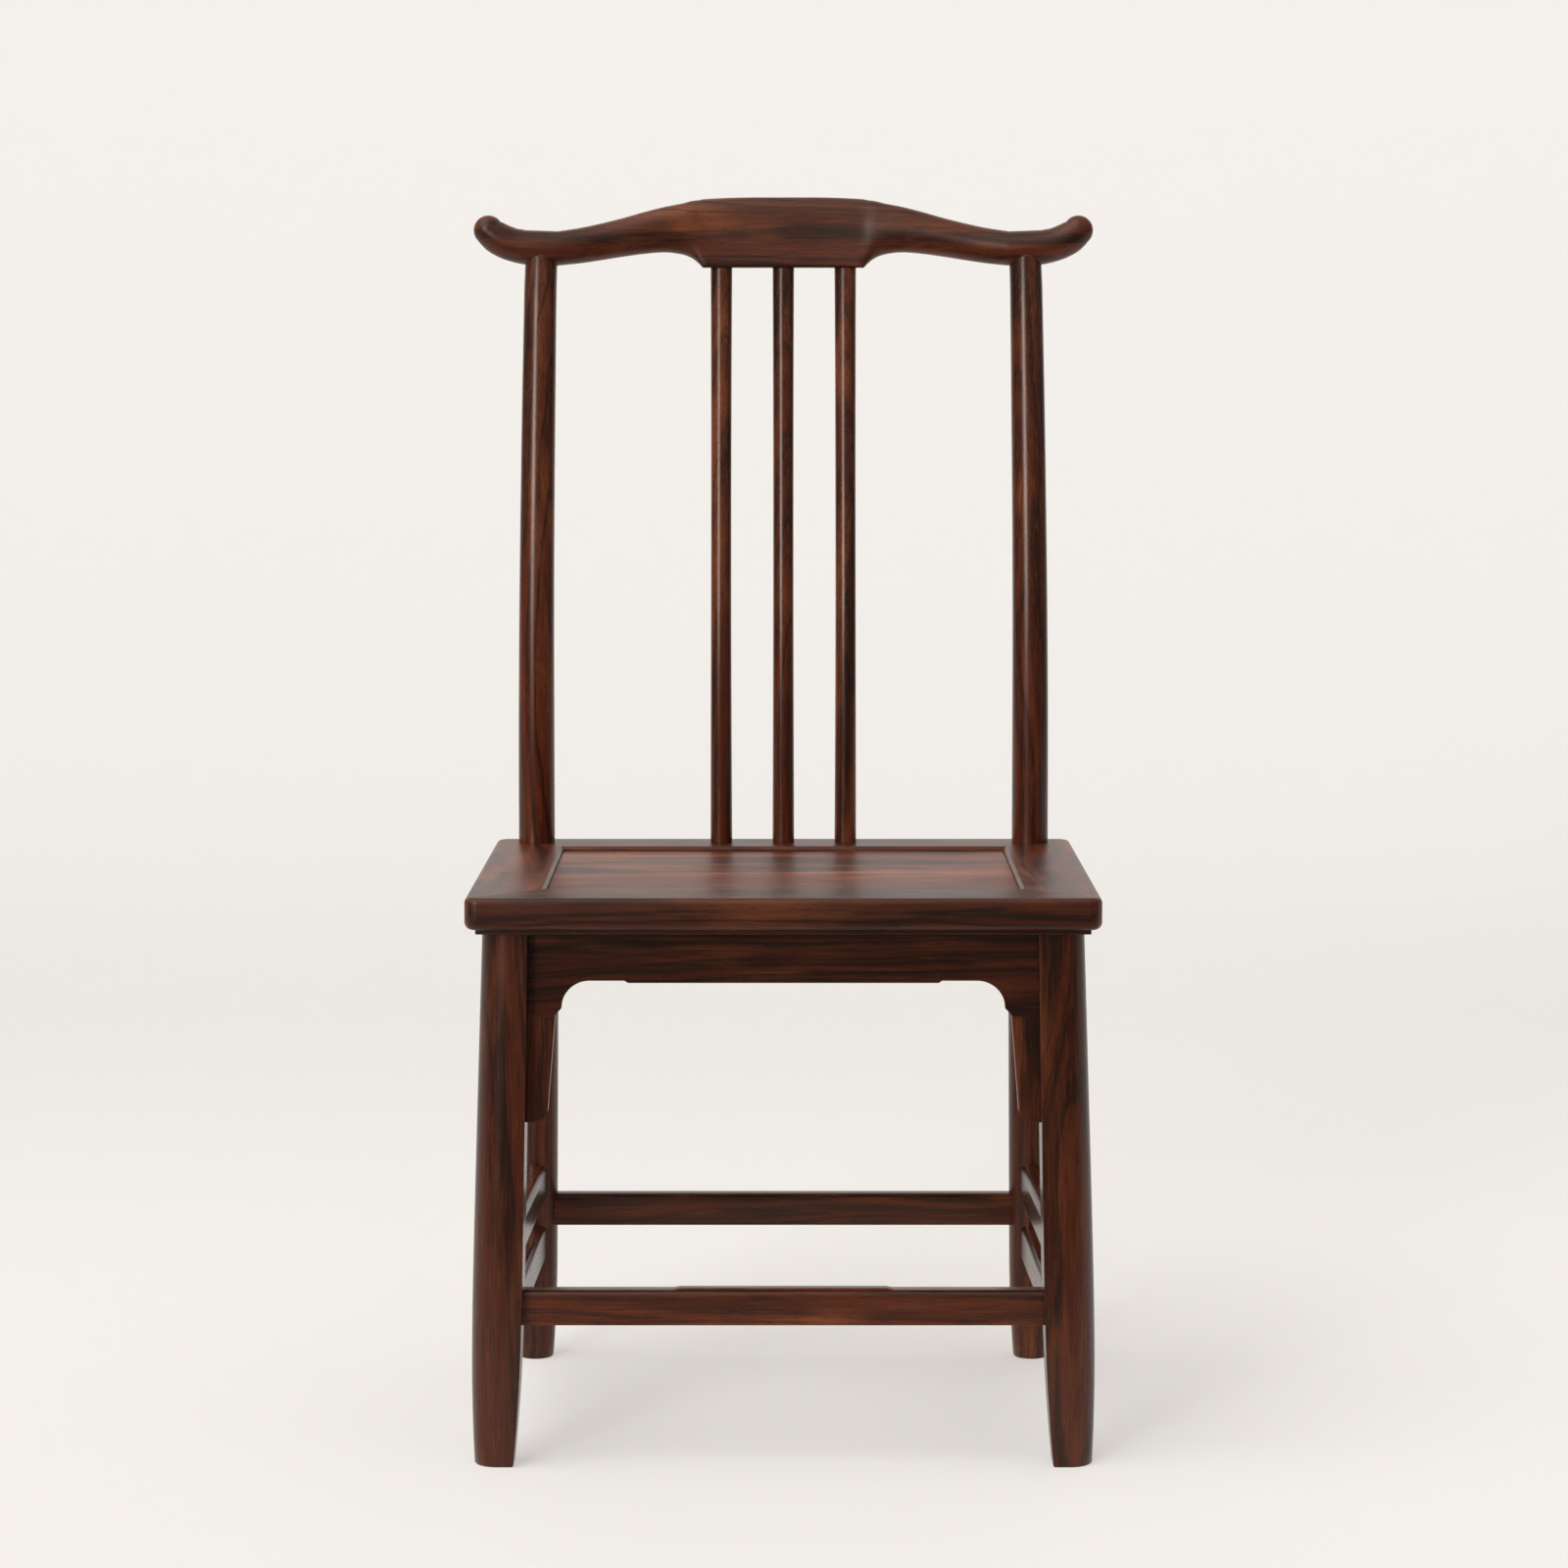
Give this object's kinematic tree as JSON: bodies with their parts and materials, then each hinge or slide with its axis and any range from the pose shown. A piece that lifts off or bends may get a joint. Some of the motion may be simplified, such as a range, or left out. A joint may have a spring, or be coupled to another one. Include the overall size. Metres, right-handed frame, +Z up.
{
  "type": "yoke-back side chair",
  "caption": "Armless wooden side chair with a yoke-shaped crest rail, round back spindles, a framed flat seat, splayed legs and stretchers.",
  "frame": {"origin": "on the floor, below the middle of the chair's width and overall depth", "axes": "+Z up, +X to the chair's width (the right of a viewer who faces the chair's front), +Y from front to back, so the chair faces -Y"},
  "size_m": [0.583, 0.4908, 1.1],
  "materials": {
    "round_members": "satin",
    "seat_frame": "satin",
    "seat_panel": "satin",
    "dark_boards": "satin"
  },
  "bodies": {
    "root": {"crest_rail": "round_members", "spindle_left": "round_members", "spindle_centre": "round_members", "spindle_right": "round_members", "rear_leg_right": "round_members", "rear_leg_left": "round_members", "front_leg_right": "round_members", "front_leg_left": "round_members", "front_strip_right": "dark_boards", "front_strip_left": "dark_boards", "side_apron_right": "dark_boards", "side_apron_left": "dark_boards", "side_stretcher_upper_right": "round_members", "side_stretcher_upper_left": "round_members", "side_stretcher_lower_right": "round_members", "side_stretcher_lower_left": "round_members", "seat_frame_front": "seat_frame", "seat_frame_rear": "seat_frame", "seat_frame_left": "seat_frame", "seat_frame_right": "seat_frame", "seat_panel": "seat_panel", "seat_batten_left": "dark_boards", "seat_batten_right": "dark_boards", "front_apron": "dark_boards", "rear_apron": "dark_boards", "front_stretcher": "round_members", "rear_stretcher": "round_members"}
  },
  "joints": []
}
